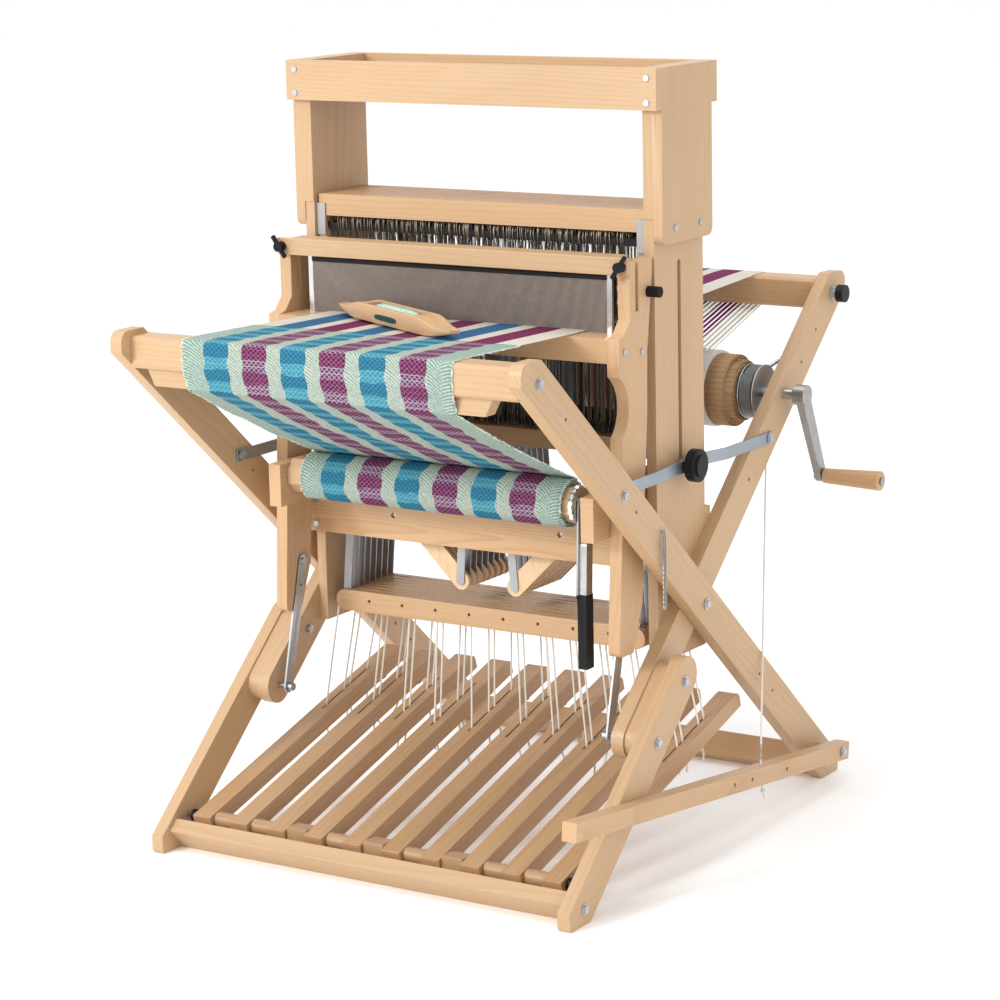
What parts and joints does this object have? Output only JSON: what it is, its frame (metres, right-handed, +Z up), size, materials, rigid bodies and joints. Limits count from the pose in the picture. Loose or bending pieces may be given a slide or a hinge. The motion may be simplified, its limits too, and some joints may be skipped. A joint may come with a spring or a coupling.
{
  "type": "floor loom",
  "caption": "Folding floor loom with crossed legs, a slotted castle, jack shafts, treadles, beater, cloth and warp beams, friction brake and crank.",
  "frame": {"origin": "on the floor under the crossing pivot of the legs, midway between the two sides", "axes": "+X to the weaver's right, +Y away from the weaver, +Z up"},
  "size_m": [0.7864, 0.942, 1.092],
  "materials": {
    "maple_light": "oiled maple, light and even",
    "maple": "oiled maple with fine grain",
    "maple_dark": "darker hardwood, oiled",
    "birch_ply": "thin birch plywood",
    "zinc": "zinc plated steel",
    "aluminium": "rolled aluminium strip",
    "black_plastic": "black moulded plastic",
    "reed_steel": "fine steel dents in black bars",
    "cardboard": "corrugated cardboard packing",
    "handwoven_cloth": "handwoven cotton in stripes",
    "cord": "braided polyester cord",
    "cast_crank": "cast and brushed"
  },
  "bodies": {
    "castle": {"side_panels": "maple", "upper_side_boards": "maple", "top_tray": "maple_light", "apron_boards": "maple_light", "cloth_beam_brackets": "maple_light", "castle_fasteners": "zinc", "warp_and_cloth": "handwoven_cloth", "tie_up_cords": "cord"},
    "front_leg_frame": {"rear_foot_legs": "maple", "rear_foot_beam": "maple_light", "breast_beam": "maple_light", "knee_bar": "maple_light", "front_frame_bolts": "zinc"},
    "back_leg_frame": {"back_beam_legs": "maple", "front_feet": "maple_light", "back_beam": "maple", "front_foot_beam": "maple_light", "rear_frame_bolts": "zinc", "treadle_rod": "maple_dark"},
    "brake_pedal": {"brake_pedal": "maple_light"},
    "warp_beam": {"warp_beam": "cast_crank", "warp_roll": "cardboard"},
    "crank_handle": {"crank_handle": "maple"},
    "lock_knobs": {"lock_knobs": "black_plastic"},
    "lock_straps_front": {"lock_straps_front": "zinc"},
    "lock_straps_rear": {"lock_straps_rear": "zinc"},
    "beater": {"beater_swords": "maple_light", "shuttle_race": "maple_light", "reed": "reed_steel", "beater_cap": "maple_light", "beater_fittings": "zinc"},
    "cloth_beam": {"cloth_beam": "maple", "cloth_roll": "handwoven_cloth"},
    "ratchet_lever": {"ratchet_lever": "zinc"},
    "treadle_1": {"treadle_1": "maple_dark"},
    "treadle_2": {"treadle_2": "maple_dark"},
    "treadle_3": {"treadle_3": "maple_dark"},
    "treadle_4": {"treadle_4": "maple_dark"},
    "treadle_5": {"treadle_5": "maple_dark"},
    "treadle_6": {"treadle_6": "maple_dark"},
    "treadle_7": {"treadle_7": "maple_dark"},
    "treadle_8": {"treadle_8": "maple_dark"},
    "treadle_9": {"treadle_9": "maple_dark"},
    "treadle_10": {"treadle_10": "maple_dark"},
    "shafts_odd": {"shafts_odd": "maple"},
    "lamms_odd": {"lamms_odd": "maple_light"},
    "jacks_odd_left": {"jacks_odd_left": "birch_ply"},
    "jacks_odd_right": {"jacks_odd_right": "birch_ply"},
    "lift_straps_odd_left": {"lift_straps_odd_left": "aluminium"},
    "lift_straps_odd_right": {"lift_straps_odd_right": "aluminium"},
    "pull_straps_odd_left": {"pull_straps_odd_left": "aluminium"},
    "pull_straps_odd_right": {"pull_straps_odd_right": "aluminium"},
    "shafts_even": {"shafts_even": "maple"},
    "lamms_even": {"lamms_even": "maple_light"},
    "jacks_even_left": {"jacks_even_left": "birch_ply"},
    "jacks_even_right": {"jacks_even_right": "birch_ply"},
    "lift_straps_even_left": {"lift_straps_even_left": "aluminium"},
    "lift_straps_even_right": {"lift_straps_even_right": "aluminium"},
    "pull_straps_even_left": {"pull_straps_even_left": "aluminium"},
    "pull_straps_even_right": {"pull_straps_even_right": "aluminium"}
  },
  "joints": [
    {"name": "legs_fold", "type": "hinge", "parent": "castle", "child": "front_leg_frame", "pos_m": [0, 0, 0.349], "axis": [-1, 0, 0], "range_deg": [0, 28.5], "deforming": ["warp_and_cloth", "tie_up_cords"]},
    {"name": "back_legs_fold", "type": "hinge", "parent": "castle", "child": "back_leg_frame", "pos_m": [0, 0, 0.349], "axis": [1, 0, 0], "range_deg": [0, 28.5]},
    {"name": "lock_knobs_slide", "type": "slide", "parent": "castle", "child": "lock_knobs", "axis": [0, 0, 1], "range_m": [0, 0.27898]},
    {"name": "lock_strap_front_turn", "type": "hinge", "parent": "front_leg_frame", "child": "lock_straps_front", "pos_m": [0, -0.22162, 0.5437], "axis": [1, 0, 0], "range_deg": [0, 91.14]},
    {"name": "lock_strap_rear_turn", "type": "hinge", "parent": "back_leg_frame", "child": "lock_straps_rear", "pos_m": [0, 0.22162, 0.5437], "axis": [-1, 0, 0], "range_deg": [0, 91.14]},
    {"name": "beater_swing", "type": "hinge", "parent": "back_leg_frame", "child": "beater", "pos_m": [0, -0.17384, 0.19628], "axis": [1, 0, 0], "range_deg": [0, 16]},
    {"name": "cloth_beam_turn", "type": "hinge", "parent": "castle", "child": "cloth_beam", "pos_m": [0, -0.165, 0.512], "axis": [1, 0, 0], "continuous": true},
    {"name": "ratchet_lever_swing", "type": "hinge", "parent": "castle", "child": "ratchet_lever", "pos_m": [0, -0.165, 0.512], "axis": [-1, 0, 0], "range_deg": [0, 70]},
    {"name": "warp_beam_turn", "type": "hinge", "parent": "back_leg_frame", "child": "warp_beam", "pos_m": [0, 0.272, 0.6], "axis": [1, 0, 0], "continuous": true},
    {"name": "crank_handle_spin", "type": "hinge", "parent": "warp_beam", "child": "crank_handle", "pos_m": [0, 0.33025, 0.47159], "axis": [1, 0, 0], "continuous": true},
    {"name": "brake_pedal_press", "type": "hinge", "parent": "front_leg_frame", "child": "brake_pedal", "pos_m": [0, 0.34, 0.052], "axis": [1, 0, 0], "range_deg": [0, 6], "stiffness_Nm_per_rad": 15, "springref_deg": -11.46},
    {"name": "treadle_1_press", "type": "hinge", "parent": "back_leg_frame", "child": "treadle_1", "pos_m": [0, -0.345, 0.042], "axis": [-1, 0, 0], "range_deg": [0, 7.3], "stiffness_Nm_per_rad": 20, "springref_deg": -22.92},
    {"name": "treadle_2_press", "type": "hinge", "parent": "back_leg_frame", "child": "treadle_2", "pos_m": [0, -0.345, 0.042], "axis": [-1, 0, 0], "range_deg": [0, 7.3], "stiffness_Nm_per_rad": 20, "springref_deg": -22.92},
    {"name": "treadle_3_press", "type": "hinge", "parent": "back_leg_frame", "child": "treadle_3", "pos_m": [0, -0.345, 0.042], "axis": [-1, 0, 0], "range_deg": [0, 7.3], "stiffness_Nm_per_rad": 12, "springref_deg": -8.59},
    {"name": "treadle_4_press", "type": "hinge", "parent": "back_leg_frame", "child": "treadle_4", "pos_m": [0, -0.345, 0.042], "axis": [-1, 0, 0], "range_deg": [0, 7.3], "stiffness_Nm_per_rad": 12, "springref_deg": -8.59},
    {"name": "treadle_5_press", "type": "hinge", "parent": "back_leg_frame", "child": "treadle_5", "pos_m": [0, -0.345, 0.042], "axis": [-1, 0, 0], "range_deg": [0, 7.3], "stiffness_Nm_per_rad": 12, "springref_deg": -8.59},
    {"name": "treadle_6_press", "type": "hinge", "parent": "back_leg_frame", "child": "treadle_6", "pos_m": [0, -0.345, 0.042], "axis": [-1, 0, 0], "range_deg": [0, 7.3], "stiffness_Nm_per_rad": 12, "springref_deg": -8.59},
    {"name": "treadle_7_press", "type": "hinge", "parent": "back_leg_frame", "child": "treadle_7", "pos_m": [0, -0.345, 0.042], "axis": [-1, 0, 0], "range_deg": [0, 7.3], "stiffness_Nm_per_rad": 12, "springref_deg": -8.59},
    {"name": "treadle_8_press", "type": "hinge", "parent": "back_leg_frame", "child": "treadle_8", "pos_m": [0, -0.345, 0.042], "axis": [-1, 0, 0], "range_deg": [0, 7.3], "stiffness_Nm_per_rad": 12, "springref_deg": -8.59},
    {"name": "treadle_9_press", "type": "hinge", "parent": "back_leg_frame", "child": "treadle_9", "pos_m": [0, -0.345, 0.042], "axis": [-1, 0, 0], "range_deg": [0, 7.3], "stiffness_Nm_per_rad": 12, "springref_deg": -8.59},
    {"name": "treadle_10_press", "type": "hinge", "parent": "back_leg_frame", "child": "treadle_10", "pos_m": [0, -0.345, 0.042], "axis": [-1, 0, 0], "range_deg": [0, 7.3], "stiffness_Nm_per_rad": 12, "springref_deg": -8.59},
    {"name": "shafts_odd_lift", "type": "slide", "parent": "castle", "child": "shafts_odd", "axis": [0, 0, 1], "range_m": [0, 0.05069]},
    {"name": "lamms_odd_drop", "type": "slide", "parent": "castle", "child": "lamms_odd", "axis": [0, 0, -1], "range_m": [0, 0.04653]},
    {"name": "jacks_odd_left_turn", "type": "hinge", "parent": "castle", "child": "jacks_odd_left", "pos_m": [-0.14, 0, 0.445], "axis": [0, -1, 0], "range_deg": [0, 26]},
    {"name": "lift_straps_odd_left_turn", "type": "hinge", "parent": "shafts_odd", "child": "lift_straps_odd_left", "pos_m": [-0.03022, 0, 0.5725], "axis": [0, -1, 0], "range_deg": [0, 8.05]},
    {"name": "pull_straps_odd_left_turn", "type": "hinge", "parent": "lamms_odd", "child": "pull_straps_odd_left", "pos_m": [-0.246, 0, 0.3035], "axis": [0, -1, 0], "range_deg": [0, 6.36]},
    {"name": "jacks_odd_right_turn", "type": "hinge", "parent": "castle", "child": "jacks_odd_right", "pos_m": [0.14, 0, 0.445], "axis": [0, 1, 0], "range_deg": [0, 26]},
    {"name": "lift_straps_odd_right_turn", "type": "hinge", "parent": "shafts_odd", "child": "lift_straps_odd_right", "pos_m": [0.03022, 0, 0.5725], "axis": [0, 1, 0], "range_deg": [0, 8.05]},
    {"name": "pull_straps_odd_right_turn", "type": "hinge", "parent": "lamms_odd", "child": "pull_straps_odd_right", "pos_m": [0.246, 0, 0.3035], "axis": [0, 1, 0], "range_deg": [0, 6.36]},
    {"name": "shafts_even_lift", "type": "slide", "parent": "castle", "child": "shafts_even", "axis": [0, 0, 1], "range_m": [0, 0.05069]},
    {"name": "lamms_even_drop", "type": "slide", "parent": "castle", "child": "lamms_even", "axis": [0, 0, -1], "range_m": [0, 0.04653]},
    {"name": "jacks_even_left_turn", "type": "hinge", "parent": "castle", "child": "jacks_even_left", "pos_m": [-0.14, 0, 0.445], "axis": [0, -1, 0], "range_deg": [0, 26]},
    {"name": "lift_straps_even_left_turn", "type": "hinge", "parent": "shafts_even", "child": "lift_straps_even_left", "pos_m": [-0.03022, 0, 0.5725], "axis": [0, -1, 0], "range_deg": [0, 8.05]},
    {"name": "pull_straps_even_left_turn", "type": "hinge", "parent": "lamms_even", "child": "pull_straps_even_left", "pos_m": [-0.246, 0, 0.3035], "axis": [0, -1, 0], "range_deg": [0, 6.36]},
    {"name": "jacks_even_right_turn", "type": "hinge", "parent": "castle", "child": "jacks_even_right", "pos_m": [0.14, 0, 0.445], "axis": [0, 1, 0], "range_deg": [0, 26]},
    {"name": "lift_straps_even_right_turn", "type": "hinge", "parent": "shafts_even", "child": "lift_straps_even_right", "pos_m": [0.03022, 0, 0.5725], "axis": [0, 1, 0], "range_deg": [0, 8.05]},
    {"name": "pull_straps_even_right_turn", "type": "hinge", "parent": "lamms_even", "child": "pull_straps_even_right", "pos_m": [0.246, 0, 0.3035], "axis": [0, 1, 0], "range_deg": [0, 6.36]}
  ],
  "couplings": [
    {"joint": "back_legs_fold", "follows": "legs_fold", "ratio": 1},
    {"joint": "lock_knobs_slide", "follows": "legs_fold", "m_per_rad": 0.56086},
    {"joint": "lock_strap_front_turn", "follows": "legs_fold", "ratio": 3.1978},
    {"joint": "lock_strap_rear_turn", "follows": "legs_fold", "ratio": 3.1978},
    {"joint": "shafts_odd_lift", "follows": "treadle_1_press", "m_per_rad": 0.39785},
    {"joint": "lamms_odd_drop", "follows": "treadle_1_press", "m_per_rad": 0.36522},
    {"joint": "jacks_odd_left_turn", "follows": "treadle_1_press", "ratio": 3.5616},
    {"joint": "lift_straps_odd_left_turn", "follows": "treadle_1_press", "ratio": 1.1028},
    {"joint": "pull_straps_odd_left_turn", "follows": "treadle_1_press", "ratio": 0.87177},
    {"joint": "jacks_odd_right_turn", "follows": "treadle_1_press", "ratio": 3.5616},
    {"joint": "lift_straps_odd_right_turn", "follows": "treadle_1_press", "ratio": 1.1028},
    {"joint": "pull_straps_odd_right_turn", "follows": "treadle_1_press", "ratio": 0.87177},
    {"joint": "shafts_even_lift", "follows": "treadle_2_press", "m_per_rad": 0.39785},
    {"joint": "lamms_even_drop", "follows": "treadle_2_press", "m_per_rad": 0.36522},
    {"joint": "jacks_even_left_turn", "follows": "treadle_2_press", "ratio": 3.5616},
    {"joint": "lift_straps_even_left_turn", "follows": "treadle_2_press", "ratio": 1.1028},
    {"joint": "pull_straps_even_left_turn", "follows": "treadle_2_press", "ratio": 0.87177},
    {"joint": "jacks_even_right_turn", "follows": "treadle_2_press", "ratio": 3.5616},
    {"joint": "lift_straps_even_right_turn", "follows": "treadle_2_press", "ratio": 1.1028},
    {"joint": "pull_straps_even_right_turn", "follows": "treadle_2_press", "ratio": 0.87177}
  ]
}
